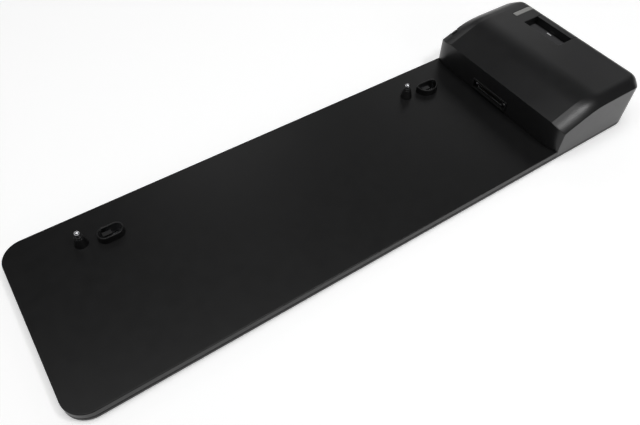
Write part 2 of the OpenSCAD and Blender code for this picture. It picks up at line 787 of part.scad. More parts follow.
module link_lever() color([0.6, 0.61, 0.63])
    translate([pivot[0], pivot[1], 0]) rotate([0, 0, lever_a])
        slab(lever_z[0], lever_z[1]) difference() {
            union() {
                translate([-3, -drive_arm - 1]) square([6, drive_arm + latch_arm + 2]);
                circle(r = 4.4);
                for (y = [-drive_arm - 1, latch_arm + 1]) translate([0, y]) circle(r = 3);
            }
            circle(r = 2.05);
            for (y = [-drive_arm, latch_arm]) translate([0, y]) rotate(90)
                stadium(2 * link_pin_r + 1.8, 2 * link_pin_r + 0.4);
        }

module lock_bar() color([0.6, 0.61, 0.63]) difference() {
    union() {
        block([latch_left_x - 8, bar_y[0], bar_z[0]], [bar_jog_x[1], bar_y[1], bar_z[1]]);
        block([bar_jog_x[0], bar_jog_y[0], bar_z[0]], [bar_jog_x[1], bar_y[1], bar_z[1]]);
        block([bar_jog_x[0], bar_jog_y[0], bar_z[0]], [latch_pin[0] + 4, bar_jog_y[1], bar_z[1]]);
        block([latch_pin[0] - 4, latch_pin[1] - 3, bar_z[0]],
            [latch_pin[0] + 4, bar_jog_y[1], bar_z[1]]);
    }
    for (x = [-90, -10, 50]) slab(bar_z[0] - 1, bar_z[1] + 1)
        translate([x, (bar_y[0] + bar_y[1]) / 2]) stadium(24, 4);
    post(latch_pin, link_pin_r, bar_z[0] - 1, bar_z[1] + 1);
}

module latch_hook(x, nose) color([0.68, 0.69, 0.71]) {
    block([x, hook_y[0], bar_z[1]], [x + 3.5, hook_y[1], 9.8]);
    block([x, hook_y[0], 9.7], [x + 3.5 + nose, hook_y[1], 11.2]);
}

module latch_hook_left() latch_hook(latch_left_x - 4.8, 2);
module latch_hook_right() latch_hook(latch_right_x - 4.9, 2);

module lock_bar_pin() color([0.75, 0.76, 0.78])
    post(latch_pin, link_pin_r, bar_z[0], lever_z[1] + 0.2);

// ---- what is drawn ----

base_shell();
tray_cover();
housing_cover();
rubber_feet();
case_screws();
stiffener_plate();
post_sleeve_left();
post_sleeve_right();
align_post_left();
align_post_right();
latch_collar_left();
latch_collar_right();
connector_bezel();
slider_well();
slider_mark();
slide_chassis();
guide_rods();
lever_pivot_pin();
detent_spring();
main_board();
board_screws();
riser_board();
riser_standoffs();
shield_can();
vga_shell();
vga_insert();
network_jack();
network_contacts();
display_shells();
display_tongues();
power_jack();
power_jack_pin();
usb_shells();
usb_tongues();
audio_jack();
rear_port_plate();
side_port_plate();
cable_lock_plate();
button_board();
button_switch();
connector_carriage();
carriage_bushes();
carriage_drive_pin();
slider_cap();
connector_body();
connector_shell();
connector_tongue();
connector_contacts();
connector_guide_pins();
link_lever();
lock_bar();
latch_hook_left();
latch_hook_right();
lock_bar_pin();
power_button();
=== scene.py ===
"""Looks of the laptop docking station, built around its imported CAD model."""

import json
import math

import bmesh
import bpy
from mathutils import Matrix, Vector


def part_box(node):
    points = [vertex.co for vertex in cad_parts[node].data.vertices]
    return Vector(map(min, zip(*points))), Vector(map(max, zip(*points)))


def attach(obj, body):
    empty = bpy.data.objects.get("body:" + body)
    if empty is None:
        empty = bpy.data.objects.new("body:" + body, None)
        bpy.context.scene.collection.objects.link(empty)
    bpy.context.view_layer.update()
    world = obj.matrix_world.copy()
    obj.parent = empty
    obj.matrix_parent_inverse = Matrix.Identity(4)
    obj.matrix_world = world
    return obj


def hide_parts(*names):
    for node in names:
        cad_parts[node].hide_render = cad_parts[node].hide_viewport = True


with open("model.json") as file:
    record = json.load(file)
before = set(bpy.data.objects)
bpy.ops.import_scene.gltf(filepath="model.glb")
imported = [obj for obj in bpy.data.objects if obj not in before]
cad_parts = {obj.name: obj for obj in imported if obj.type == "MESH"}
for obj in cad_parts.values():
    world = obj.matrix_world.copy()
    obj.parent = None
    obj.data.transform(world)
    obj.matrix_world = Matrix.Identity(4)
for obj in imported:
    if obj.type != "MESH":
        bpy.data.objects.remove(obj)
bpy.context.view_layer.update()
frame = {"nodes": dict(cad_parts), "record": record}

MM = 0.001


def box_mm(node):
    """A CAD node's lowest and highest corners in millimetres."""
    low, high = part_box(node)
    return low / MM, high / MM


# ---- camera, floor and light ----

# Camera: place in metres, angles in degrees, lens and sensor in millimetres
CAMERA_AT = (-0.1685, -0.2093, 0.3)
CAMERA_YAW = 35.24
CAMERA_PITCH = 51.14
CAMERA_ROLL = 1.83
CAMERA_LENS = 34.56
CAMERA_SENSOR = 36
# Floor: half of its side in metres, and a little light of its own that keeps it white
FLOOR_REACH = 3
FLOOR_GLOW = 0.34
# Brightness of the sky from the horizon (0) to straight up (1)
SKY = [(0.0, 0.9), (0.1, 0.5), (0.3, 0.08), (1.0, 0.01)]
# Round lamps: place and diameter in metres, power in watts
LAMPS = [
    ((0.33, -0.42, 1.0), 0.2, 2.6),
    ((-0.55, 0.1, 1.3), 0.9, 4.7),
    ((0.1, 0.0, 1.5), 0.8, 5.8),
    ((1.1, 0.2, 0.7), 0.5, 0.35),
    ((0.3, 1.0, 0.8), 0.5, 0.7),
    ((0.95, 0.75, 0.65), 0.6, 0.6),
    ((0.2, -1.1, 0.55), 0.6, 0.95),
]
LAMPS_AIM = (0.05, 0, 0)


def turn(degrees, axis):
    """Rotation matrix about one axis."""
    return Matrix.Rotation(math.radians(degrees), 4, axis)


def make_camera():
    data = bpy.data.cameras.new("camera")
    data.lens = CAMERA_LENS
    data.sensor_width = CAMERA_SENSOR
    camera = bpy.data.objects.new("camera", data)
    bpy.context.scene.collection.objects.link(camera)
    camera.matrix_world = (Matrix.Translation(CAMERA_AT) @ turn(-CAMERA_YAW, "Z")
                           @ turn(90 - CAMERA_PITCH, "X") @ turn(CAMERA_ROLL, "Z"))
    bpy.context.scene.camera = camera


def make_floor():
    """A plain white sheet under the dock."""
    a = FLOOR_REACH
    mesh = bpy.data.meshes.new("floor")
    mesh.from_pydata([(-a, -a, 0), (a, -a, 0), (a, a, 0), (-a, a, 0)], [], [(0, 1, 2, 3)])
    floor = bpy.data.objects.new("floor", mesh)
    bpy.context.scene.collection.objects.link(floor)
    material = bpy.data.materials.new("floor_white")
    material.use_nodes = True
    shader = material.node_tree.nodes["Principled BSDF"]
    shader.inputs["Base Color"].default_value = (0.9, 0.9, 0.9, 1)
    shader.inputs["Roughness"].default_value = 0.9
    shader.inputs["Specular IOR Level"].default_value = 0.1
    shader.inputs["Emission Color"].default_value = (1, 1, 1, 1)
    shader.inputs["Emission Strength"].default_value = FLOOR_GLOW
    mesh.materials.append(material)


def make_light():
    """A dim sky that is brighter at the horizon, and the lamps."""
    world = bpy.data.worlds.new("studio")
    world.use_nodes = True
    bpy.context.scene.world = world
    nodes, links = world.node_tree.nodes, world.node_tree.links
    place = nodes.new("ShaderNodeTexCoord")
    parts = nodes.new("ShaderNodeSeparateXYZ")
    ramp = nodes.new("ShaderNodeValToRGB")
    while len(ramp.color_ramp.elements) < len(SKY):
        ramp.color_ramp.elements.new(1)
    for element, (height, value) in zip(ramp.color_ramp.elements, SKY):
        element.position = height
        element.color = (value, value, value, 1)
    links.new(place.outputs["Generated"], parts.inputs["Vector"])
    links.new(parts.outputs["Z"], ramp.inputs["Fac"])
    links.new(ramp.outputs["Color"], nodes["Background"].inputs["Color"])
    target = Vector(LAMPS_AIM)
    for number, (place, size, power) in enumerate(LAMPS):
        data = bpy.data.lights.new(f"lamp_{number}", "AREA")
        data.shape = "DISK"
        data.size = size
        data.energy = power
        lamp = bpy.data.objects.new(f"lamp_{number}", data)
        bpy.context.scene.collection.objects.link(lamp)
        lamp.location = place
        lamp.rotation_euler = (target - Vector(place)).to_track_quat("-Z", "Y").to_euler()
    bpy.context.scene.view_settings.view_transform = "Standard"


# ---- materials ----

class Finish:
    """One procedural finish: two shades, two roughnesses and a fine relief.

    grain is the relief's noise scale and relief its height in millimetres. What lies below
    floor_height, in metres, takes a paler grey of its own: painted light on the pocket's floor.
    """

    def __init__(self, dark, light, rough, grain=1800, relief=0.02, metal=0.0, stretch=(1, 1, 1),
                 specular=0.5, floor_painted_light=None, floor_height=0.0):
        self.dark = dark
        self.light = light
        self.rough = rough
        self.grain = grain
        self.relief = relief
        self.metal = metal
        self.stretch = stretch
        self.specular = specular
        self.floor_painted_light = floor_painted_light
        self.floor_height = floor_height


def grey(value):
    """A grey with a trace of blue."""
    return (value, value, value * 1.04)


FINISHES = {
    "tray_plastic": Finish(grey(0.005), grey(0.0058), (0.36, 0.39), relief=0.01, specular=0.32),
    "housing_plastic": Finish(grey(0.01), grey(0.0115), (0.29, 0.31), relief=0.008,
                              specular=0.33),
    "base_plastic": Finish(grey(0.006), grey(0.0075), (0.42, 0.46), relief=0.015, specular=0.3),
    "trim_plastic": Finish(grey(0.006), grey(0.008), (0.4, 0.46), relief=0.015),
    # painted light: the pocket's floor, below floor_height, is painted a paler grey than its
    # walls
    "well_plastic": Finish(grey(0.006), grey(0.008), (0.4, 0.46), relief=0.015,
                           floor_painted_light=grey(0.055), floor_height=0.03195),
    "frame_plastic": Finish(grey(0.03), grey(0.045), (0.4, 0.5)),
    "foot_rubber": Finish(grey(0.012), grey(0.02), (0.75, 0.9), grain=2600, relief=0.05),
    "screw_steel": Finish((0.42, 0.42, 0.43), (0.52, 0.52, 0.53), (0.3, 0.42), metal=1),
    "sheet_steel": Finish((0.4, 0.41, 0.43), (0.5, 0.51, 0.53), (0.32, 0.45), metal=1,
                          stretch=(1, 12, 1)),
    "black_steel": Finish(grey(0.012), grey(0.018), (0.4, 0.5), metal=0.3),
    "spring_steel": Finish((0.45, 0.45, 0.46), (0.55, 0.55, 0.56), (0.25, 0.35), metal=1,
                           stretch=(12, 1, 1)),
    "polished_steel": Finish((0.5, 0.5, 0.52), (0.58, 0.58, 0.6), (0.2, 0.26), metal=1,
                             relief=0.008),
    "tinned_steel": Finish((0.3, 0.3, 0.31), (0.36, 0.36, 0.37), (0.34, 0.42), metal=1,
                           stretch=(1, 1, 8)),
    "circuit_board": Finish((0.006, 0.06, 0.028), (0.012, 0.1, 0.045), (0.25, 0.4), grain=500,
                            relief=0.04),
    "brass_parts": Finish((0.5, 0.36, 0.13), (0.62, 0.46, 0.18), (0.22, 0.32), metal=1),
    "bronze_parts": Finish((0.36, 0.2, 0.08), (0.46, 0.27, 0.1), (0.4, 0.55), metal=1),
    "gold_contacts": Finish((0.7, 0.5, 0.17), (0.8, 0.6, 0.25), (0.18, 0.26), metal=1),
    "port_blue": Finish((0.012, 0.03, 0.16), (0.02, 0.045, 0.24), (0.4, 0.5)),
    "mark_print": Finish((0.5, 0.5, 0.51), (0.62, 0.62, 0.63), (0.45, 0.55)),
    "button_silver": Finish((0.28, 0.28, 0.27), (0.33, 0.33, 0.32), (0.36, 0.42), metal=0.5),
}


# Noise scales of the colour's clouds and of the handling marks, per metre
CLOUD_SCALE = 60
MARKS_SCALE = 140
# Part of the noise's range that a ramp stretches over
RAMP_START = 0.35
RAMP_END = 0.65


def ramp_node(nodes, low, high):
    ramp = nodes.new("ShaderNodeValToRGB")
    ramp.color_ramp.elements[0].position = RAMP_START
    ramp.color_ramp.elements[1].position = RAMP_END
    ramp.color_ramp.elements[0].color = (*low, 1)
    ramp.color_ramp.elements[1].color = (*high, 1)
    return ramp


def noise_node(nodes, links, vector, scale, detail):
    noise = nodes.new("ShaderNodeTexNoise")
    noise.inputs["Scale"].default_value = scale
    noise.inputs["Detail"].default_value = detail
    links.new(vector, noise.inputs["Vector"])
    return noise


def make_material(name, finish):
    """Builds the node material of a finish."""
    material = bpy.data.materials.new(name)
    material.use_nodes = True
    nodes, links = material.node_tree.nodes, material.node_tree.links
    shader = nodes["Principled BSDF"]
    shader.inputs["Metallic"].default_value = finish.metal
    shader.inputs["Specular IOR Level"].default_value = finish.specular
    place = nodes.new("ShaderNodeTexCoord")
    stretch = nodes.new("ShaderNodeMapping")
    stretch.inputs["Scale"].default_value = finish.stretch
    links.new(place.outputs["Object"], stretch.inputs["Vector"])
    vector = stretch.outputs["Vector"]
    # colour: slow cloudiness of the moulding
    cloud = noise_node(nodes, links, vector, CLOUD_SCALE, 4)
    colour = ramp_node(nodes, finish.dark, finish.light)
    links.new(cloud.outputs["Fac"], colour.inputs["Fac"])
    if finish.floor_painted_light:
        # painted light: a paler floor below a height
        parts = nodes.new("ShaderNodeSeparateXYZ")
        below = nodes.new("ShaderNodeMath")
        below.operation = "LESS_THAN"
        below.inputs[1].default_value = finish.floor_height
        blend = nodes.new("ShaderNodeMixRGB")
        blend.inputs["Color2"].default_value = (*finish.floor_painted_light, 1)
        links.new(place.outputs["Object"], parts.inputs["Vector"])
        links.new(parts.outputs["Z"], below.inputs[0])
        links.new(below.outputs["Value"], blend.inputs["Fac"])
        links.new(colour.outputs["Color"], blend.inputs["Color1"])
        links.new(blend.outputs["Color"], shader.inputs["Base Color"])
    else:
        links.new(colour.outputs["Color"], shader.inputs["Base Color"])
    # gloss: handling marks, larger than the grain
    marks = noise_node(nodes, links, vector, MARKS_SCALE, 6)
    gloss = ramp_node(nodes, [finish.rough[0]] * 3, [finish.rough[1]] * 3)
    links.new(marks.outputs["Fac"], gloss.inputs["Fac"])
    links.new(gloss.outputs["Color"], shader.inputs["Roughness"])
    # relief: fine moulded or brushed grain
    grain = noise_node(nodes, links, vector, finish.grain, 3)
    bump = nodes.new("ShaderNodeBump")
    bump.inputs["Strength"].default_value = 0.6
    bump.inputs["Distance"].default_value = finish.relief * MM
    links.new(grain.outputs["Fac"], bump.inputs["Height"])
    links.new(bump.outputs["Normal"], shader.inputs["Normal"])
    return material


MATERIALS = {slot: make_material(slot, finish) for slot, finish in FINISHES.items()}
SLOT_OF = {part["node"]: part["material_slot"] for part in frame["record"]["subparts"]}
BODY_OF = {node: body for body, nodes in frame["record"]["behaviour"]["bodies"].items()
           for node in nodes}
# Nodes that look different from their slot: painted light on the pocket's floor, which is paler,
# and painted shade on the guide pins, which take a darker steel for the shadow in the connector
# window
SPECIAL_FINISH = {"slider_well": "well_plastic", "connector_guide_pins": "tinned_steel"}


def paint_frame():
    """Gives every CAD node the finish of its material slot, or its special one."""
    for node, thing in frame["nodes"].items():
        thing.data.materials.clear()
        thing.data.materials.append(MATERIALS[SPECIAL_FINISH.get(node, SLOT_OF[node])])


# ---- mesh helpers, all in millimetres ----

class Solid:
    """Corners and faces of one closed mesh; corners at one place are shared."""

    def __init__(self):
        self.corners = []
        self.faces = []
        self.known = {}

    def corner(self, x, y, z):
        """The number of the corner at a place, made if it is new."""
        key = (round(x, 4), round(y, 4), round(z, 4))
        if key not in self.known:
            self.known[key] = len(self.corners)
            self.corners.append((x, y, z))
        return self.known[key]

    def face(self, *indices):
        """Adds a face without the corners that fall together."""
        kept = [a for a, b in zip(indices, indices[1:] + indices[:1]) if a != b]
        if len(set(kept)) > 2:
            self.faces.append(kept)

    def band(self, first, second, closed=False):
        """Quads between two rows of corners."""
        count = len(first) if closed else len(first) - 1
        for i in range(count):
            j = (i + 1) % len(first)
            self.face(first[i], first[j], second[j], second[i])

    def mesh(self, name):
        """The mesh in metres, with its normals facing out."""
        mesh = bpy.data.meshes.new(name)
        mesh.from_pydata([tuple(c * MM for c in corner) for corner in self.corners], [],
                         self.faces)
        work = bmesh.new()
        work.from_mesh(mesh)
        bmesh.ops.recalc_face_normals(work, faces=work.faces)
        work.to_mesh(mesh)
        work.free()
        return mesh


def ring_solid(rings, hollow):
    """A solid from closed rings of points; hollow joins the last ring to the first."""
    solid = Solid()
    rows = [[solid.corner(*point) for point in ring] for ring in rings]
    for first, second in zip(rows, rows[1:]):
        solid.band(first, second, closed=True)
    if hollow:
        solid.band(rows[-1], rows[0], closed=True)
    else:
        solid.face(*rows[0])
        solid.face(*rows[-1])
    return solid


def block_solid(low, high):
    """A cutter with square edges."""
    rings = [[(low[0], low[1], z), (high[0], low[1], z), (high[0], high[1], z),
              (low[0], high[1], z)] for z in (low[2], high[2])]
    return ring_solid(rings, hollow=False)


def circle_points(at, radius, z, count=64):
    """Points round a level circle."""
    return [(at[0] + radius * math.cos(math.tau * i / count),
             at[1] + radius * math.sin(math.tau * i / count), z) for i in range(count)]


def lathe_solid(at, profile, hollow):
    """Turns a profile of (radius, height) round an upright axis."""
    return ring_solid([circle_points(at, r, z) for r, z in profile], hollow)


def arc_points(centre, radius, start, end, steps=6):
    """Points of an arc in a flat profile; angles in degrees."""
    angles = [math.radians(start + (end - start) * i / steps) for i in range(steps + 1)]
    return [(centre[0] + radius * math.cos(a), centre[1] + radius * math.sin(a))
            for a in angles]


def link(name, mesh):
    thing = bpy.data.objects.new(name, mesh)
    bpy.context.scene.collection.objects.link(thing)
    return thing


def finish_piece(name, solid, node, holes=(), edge=0.0, sharp=32):
    """Carves the holes out of a solid, rounds its edges and puts it in place of a CAD node."""
    thing = link(name, solid.mesh(name))
    tools = []
    for number, hole in enumerate(holes):
        tool = link(f"{name}_tool_{number}", hole.mesh("tool"))
        tools.append(tool)
        modifier = thing.modifiers.new("carve", "BOOLEAN")
        modifier.operation = "DIFFERENCE"
        modifier.solver = "EXACT"
        modifier.object = tool
    if edge:
        bevel = thing.modifiers.new("edges", "BEVEL")
        bevel.width = edge * MM
        bevel.segments = 3
        bevel.limit_method = "ANGLE"
        bevel.angle_limit = math.radians(sharp)
        bevel.use_clamp_overlap = False
        bevel.miter_outer = "MITER_ARC"
    bpy.context.view_layer.update()
    made = bpy.data.meshes.new_from_object(
        thing.evaluated_get(bpy.context.evaluated_depsgraph_get()))
    thing.modifiers.clear()
    thing.data = made
    for tool in tools:
        bpy.data.objects.remove(tool)
    made.shade_smooth()
    made.set_sharp_from_angle(angle=math.radians(sharp))
    normals = thing.modifiers.new("normals", "WEIGHTED_NORMAL")
    normals.keep_sharp = True
    made.materials.clear()
    made.materials.append(MATERIALS[SLOT_OF[node]])
    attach(thing, BODY_OF[node])
    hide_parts(node)


WELD_DISTANCE = 2e-6


def soften(node, width, sharp=35):
    """Rounds a CAD node's edges by modifiers and leaves its mesh alone."""
    thing = frame["nodes"][node]
    weld = thing.modifiers.new("weld", "WELD")
    weld.merge_threshold = WELD_DISTANCE
    bevel = thing.modifiers.new("edges", "BEVEL")
    bevel.width = width * MM
    bevel.segments = 2
    bevel.limit_method = "ANGLE"
    bevel.angle_limit = math.radians(sharp)
    bevel.use_clamp_overlap = False
    normals = thing.modifiers.new("normals", "WEIGHTED_NORMAL")
    normals.keep_sharp = False


# ---- housing ----

# Skin's thickness, and radius of the right-hand corners in plan
SKIN = 2.0
CORNER = 12.0
# Inner wall's height, slope in degrees, and radius between the slope and the flat top
WALL_TOP = 28.0
SLOPE = 20.5
CREST = 60.0
# Radius of the right-hand upper edge
TOP_ROUND = 8.0
# Rolled ends of the inner wall: radius, and degrees that they turn through
WALL_ROLL = 18.0
WALL_ROLL_ANGLE = 34
# Rolled bands along the front and rear edges: width, and on the slope and on the flat top
# the crease's tilt in degrees and the drop to the outer edge
BANDS = {"front": (10.5, (13, 0), (4.9, 4.2)), "rear": (11.5, (11, 2), (4.6, 5))}
BAND_STEPS = 11
# The bands change from the slope's form to the flat top's between these places along X
BAND_CHANGE = (141, 160)
# Air round the slider and the button
AIR = 0.15

house_low, house_high = box_mm("housing_cover")
WALL_X, FRONT_Y, BASE_Z = house_low
RIGHT_X, REAR_Y, TOP_Z = house_high
CORNER_X = RIGHT_X - CORNER


def ease(value, low, high):
    """Smooth step from 0 at low to 1 at high."""
    t = min(1, max(0, (value - low) / (high - low)))
    return t * t * (3 - 2 * t)


def mix(a, b, share):
    return a + (b - a) * share


def roof(x):
    """Height of the slope, the crest and the flat top at x."""
    tangent = math.tan(math.radians(SLOPE))
    meet = WALL_X + (TOP_Z - WALL_TOP) / tangent
    reach = CREST * math.tan(math.radians(SLOPE / 2))
    start = meet - reach * math.cos(math.radians(SLOPE))
    centre = meet + reach
    if x <= start:
        return WALL_TOP + (x - WALL_X) * tangent
    if x < centre:
        return TOP_Z - CREST + math.sqrt(CREST ** 2 - (x - centre) ** 2)
    return TOP_Z


def crisp_profile(crease, tilt, drop):
    """Inset and drop across a rolled band, from its sharp outer edge to its inner crease."""
    start = math.tan(math.radians(tilt))
    curve = (drop - start * crease) / crease ** 2
    steps = [crease * (1 - i / BAND_STEPS) for i in range(BAND_STEPS + 1)]
    band = [(crease - s, start * s + curve * s * s) for s in steps]
    inside = crease + 0.25
    return band + [(inside, 0), (CORNER, 0)]


def round_profile():
    """Inset and drop over the rounded right-hand edge."""
    angles = [math.radians(90 * i / BAND_STEPS) for i in range(BAND_STEPS + 1)]
    band = [(TOP_ROUND * (1 - math.cos(a)), TOP_ROUND * (1 - math.sin(a))) for a in angles]
    inside = TOP_ROUND + 0.8
    return band + [(inside, 0), (CORNER, 0)]


def profile_at(side, x, turned):
    """Profile at a place on the front or rear edge, or on the way round a corner."""
    flatness = ease(x, *BAND_CHANGE)
    width, tilts, drops = BANDS[side]
    crisp = crisp_profile(width, mix(*tilts, flatness), mix(*drops, flatness))
    return [(mix(a[0], b[0], turned), mix(a[1], b[1], turned))
            for a, b in zip(crisp, round_profile())]


def deepen(profile, depth):
    """Moves a profile inwards by the skin's thickness."""
    moved = []
    for i, (inset, drop) in enumerate(profile):
        before, after = profile[max(i - 1, 0)], profile[min(i + 1, len(profile) - 1)]
        run, rise = after[0] - before[0], before[1] - after[1]
        length = math.hypot(run, rise)
        moved.append((min(CORNER, inset + depth * rise / length), drop + depth * run / length))
    return moved


def wall_roll(from_edge):
    """How far the wall's rolled end stands back, by the distance from the vertical edge."""
    reach = WALL_ROLL * math.sin(math.radians(WALL_ROLL_ANGLE))
    left = max(0, reach - max(0, from_edge))
    return WALL_ROLL - math.sqrt(WALL_ROLL ** 2 - left ** 2)


def housing_solid(depth, foot_z):
    """The housing's outer form, or with a depth the room inside its skin."""
    # stations along the front, the right-hand side and the rear, and round each corner
    along, across, round_corner = 44, 60, 12
    # share of a corner's turn over which the crease fades into the rounded edge
    fade = 0.8
    low_y, high_y = FRONT_Y + CORNER, REAR_Y - CORNER
    stations = [("front", i / along) for i in range(along + 1)]
    stations += [("front_corner", i / round_corner) for i in range(1, round_corner)]
    stations += [("right", i / across) for i in range(across + 1)]
    stations += [("rear_corner", i / round_corner) for i in range(1, round_corner)]
    stations += [("rear", 1 - i / along) for i in range(along + 1)]

    def profile(side, share):
        """Inset and drop of the band at a station."""
        if side in ("front", "rear"):
            shape = profile_at(side, mix(WALL_X, CORNER_X, share), 0)
        elif side == "front_corner":
            shape = profile_at("front", CORNER_X, ease(share, 0, fade))
        elif side == "rear_corner":
            shape = profile_at("rear", CORNER_X, ease(1 - share, 0, fade))
        else:
            shape = round_profile()
        return deepen(shape, depth) if depth else shape

    def place(side, share, inset, edge_inset):
        """Plan position of a point at an inset from the outline."""
        if side in ("front", "rear"):
            start = WALL_X + depth + wall_roll(inset - edge_inset)
            x = mix(start, CORNER_X, share)
            return (x, FRONT_Y + inset) if side == "front" else (x, REAR_Y - inset)
        if side == "right":
            return RIGHT_X - inset, mix(low_y, high_y, share)
        turned = math.radians(90 * share - 90 if side == "front_corner" else 90 * share)
        centre_y = low_y if side == "front_corner" else high_y
        radius = CORNER - inset
        return CORNER_X + radius * math.cos(turned), centre_y + radius * math.sin(turned)

    solid = Solid()
    foot_row, rows = [], []
    for side, share in stations:
        shape = profile(side, share)
        edge_inset = shape[0][0]
        x, y = place(side, share, depth, depth)
        foot_row.append(solid.corner(x, y, foot_z))
        column = []
        for inset, drop in shape:
            x, y = place(side, share, inset, edge_inset)
            column.append(solid.corner(x, y, roof(x) - drop))
        rows.append(column)
    columns = [[foot_row[i], *rows[i]] for i in range(len(rows))]
    for first, second in zip(columns, columns[1:]):
        solid.band(first, second)
    # the roof inside the edge bands
    front_row = [column[-1] for column in columns[:along + 1]]
    rear_row = [column[-1] for column in columns[-along - 1:]][::-1]
    right_first = along + round_corner
    right_row = [column[-1] for column in columns[right_first:right_first + across + 1]]
    grid = [front_row]
    for j in range(1, across):
        y = mix(low_y, high_y, j / across)
        row = []
        for i in range(along):
            x = mix(WALL_X + depth, CORNER_X, i / along)
            row.append(solid.corner(x, y, roof(x) - depth))
        grid.append(row + [right_row[j]])
    grid.append(rear_row)
    for first, second in zip(grid, grid[1:]):
        solid.band(first, second)
    # the inner wall
    top_line = columns[0][1:] + [row[0] for row in grid[1:-1]] + columns[-1][:0:-1]
    foot_line = [foot_row[0]]
    for index in top_line[1:-1]:
        x, y, _ = solid.corners[index]
        if y < 0:
            # draw the foot out to the front edge, under the roll
            shift = solid.corners[top_line[0]][1] - FRONT_Y - depth
            share = 1 - min(1, (y - FRONT_Y - depth - shift) / CORNER)
            y -= shift * share
        foot_line.append(solid.corner(x, y, foot_z))
    foot_line.append(foot_row[-1])
    solid.band(top_line, foot_line)
    solid.face(*foot_row, *foot_line[-2:0:-1])
    return solid


def make_housing():
    """The housing's shell with its openings, in place of housing_cover."""
    well_low, well_high = box_mm("slider_well")
    well_wall = 1.5
    open_y = (well_low.y + well_wall, well_high.y - well_wall)
    cap_low = box_mm("slider_cap")[0]
    button_low, button_high = box_mm("power_button")
    bezel_low, bezel_high = box_mm("connector_bezel")
    rear_low, rear_high = box_mm("rear_port_plate")
    side_low, side_high = box_mm("side_port_plate")
    lock_low, lock_high = box_mm("cable_lock_plate")
    tray_high = box_mm("tray_cover")[1]
    # cutters reach this far past the skin, and this far below the flat top
    past = 1.0
    top_cut = TOP_Z - 6
    # the button's flange on its left and at its front and rear
    flange = (1.0, 1.2)
    # gap at the tray, and how far the frames and plates overlap their windows
    tray_gap = 0.1
    bezel_lip = (0.5, 0.35)
    plate_lip = 1.5
    port_rim = 0.4
    port_head = 1.0
    side_rim = 0.5
    lock_lip = 2.0
    holes = [
        housing_solid(SKIN, BASE_Z - past),
        # step over the tray cover
        block_solid((WALL_X - past, FRONT_Y - past, BASE_Z - past),
                    (tray_high.x + tray_gap, REAR_Y + past, tray_high.z + tray_gap)),
        # slider: top opening and the notch for its skirt
        block_solid((well_low.x + well_wall, open_y[0], top_cut),
                    (RIGHT_X + past, open_y[1], TOP_Z + past)),
        block_solid((RIGHT_X - SKIN - past, open_y[0], cap_low.z - AIR),
                    (RIGHT_X + past, open_y[1], TOP_Z + past)),
        # power button
        block_solid((button_low.x + flange[0] - AIR, button_low.y + flange[1] - AIR, top_cut),
                    (button_high.x + AIR, button_high.y - flange[1] + AIR, TOP_Z + past)),
        # windows of the docking connector, the ports and the lock slot
        block_solid((WALL_X - past, bezel_low.y + bezel_lip[0], bezel_low.z + bezel_lip[1]),
                    (WALL_X + SKIN + past, bezel_high.y - bezel_lip[0],
                     bezel_high.z - bezel_lip[1])),
        block_solid((rear_low.x + plate_lip, REAR_Y - SKIN - past, rear_low.z - port_rim),
                    (rear_high.x - plate_lip, REAR_Y + past, rear_high.z - port_head)),
        block_solid((RIGHT_X - SKIN - past, side_low.y - side_rim, side_low.z - port_rim),
                    (RIGHT_X + past, side_high.y - plate_lip, side_high.z - port_head)),
        block_solid((RIGHT_X - SKIN - past, lock_low.y + plate_lip, lock_low.z + lock_lip),
                    (RIGHT_X + past, lock_high.y - plate_lip, lock_high.z - lock_lip)),
    ]
    finish_piece("housing_shell", housing_solid(0, BASE_Z), "housing_cover", holes, edge=0.3)


# ---- tray ----

# Corner radius in plan, rounding of the upper edge, and thickness of the side and of the plate
TRAY_CORNER = 14.0
TRAY_EDGE = 0.6
TRAY_SIDE = 1.6
TRAY_PLATE = 1.7
# Bevel along the seam over the base, and air round the sleeves and collars
GROOVE = 0.55
FIT_GAP = 0.05


def tray_outline(inset, end_x):
    """The tray's free edge from the front right over the left end to the rear right."""
    low, high = box_mm("tray_cover")
    radius = TRAY_CORNER - inset
    steps = 16
    left, front, rear = low.x + TRAY_CORNER, low.y + TRAY_CORNER, high.y - TRAY_CORNER
    points = [(end_x, low.y + inset)]
    points += arc_points((left, front), radius, 270, 180, steps)
    points += arc_points((left, rear), radius, 180, 90, steps)
    return points + [(end_x, high.y - inset)]


def tray_solid(profile, end_x):
    """A slab whose free edges follow a profile of (inset, height)."""
    solid = Solid()
    rows = [[solid.corner(x, y, z) for x, y in tray_outline(inset, end_x)]
            for inset, z in profile]
    for first, second in zip(rows, rows[1:]):
        solid.band(first, second)
    solid.face(*rows[0])
    solid.face(*rows[-1])
    solid.face(*[row[0] for row in rows], *[row[-1] for row in reversed(rows)])
    return solid


def make_tray():
    """The tray's upper shell with its openings, in place of tray_cover."""
    low, high = box_mm("tray_cover")
    edge = arc_points((TRAY_EDGE, high.z - TRAY_EDGE), TRAY_EDGE, 180, 90, 8)
    outside = tray_solid([(GROOVE, low.z), (0, low.z + GROOVE)] + edge, high.x)
    room = tray_solid([(TRAY_SIDE, low.z - 1), (TRAY_SIDE, high.z - TRAY_PLATE)], high.x + 1)
    holes = [room]
    cut = (low.z - 1, high.z + 1)
    for side in ("left", "right"):
        post_low, post_high = box_mm(f"post_sleeve_{side}")
        centre = (post_low + post_high) / 2
        holes.append(lathe_solid(centre, [(SLEEVE_R + FIT_GAP, z) for z in cut], hollow=False))
        outline = COLLAR_OUTLINES[side]
        holes.append(ring_solid([outline(-FIT_GAP, z) for z in cut], hollow=False))
    finish_piece("tray_shell", outside, "tray_cover", holes)


# ---- posts and latch collars ----

# Sleeve's radius at the tray and under its ring, the ring's radius and height, and the bore
SLEEVE_R = 4.1
SLEEVE_TIP_R = 2.8
RING_R = 2.5
RING_HEIGHT = 1.2
BORE_R = 1.3


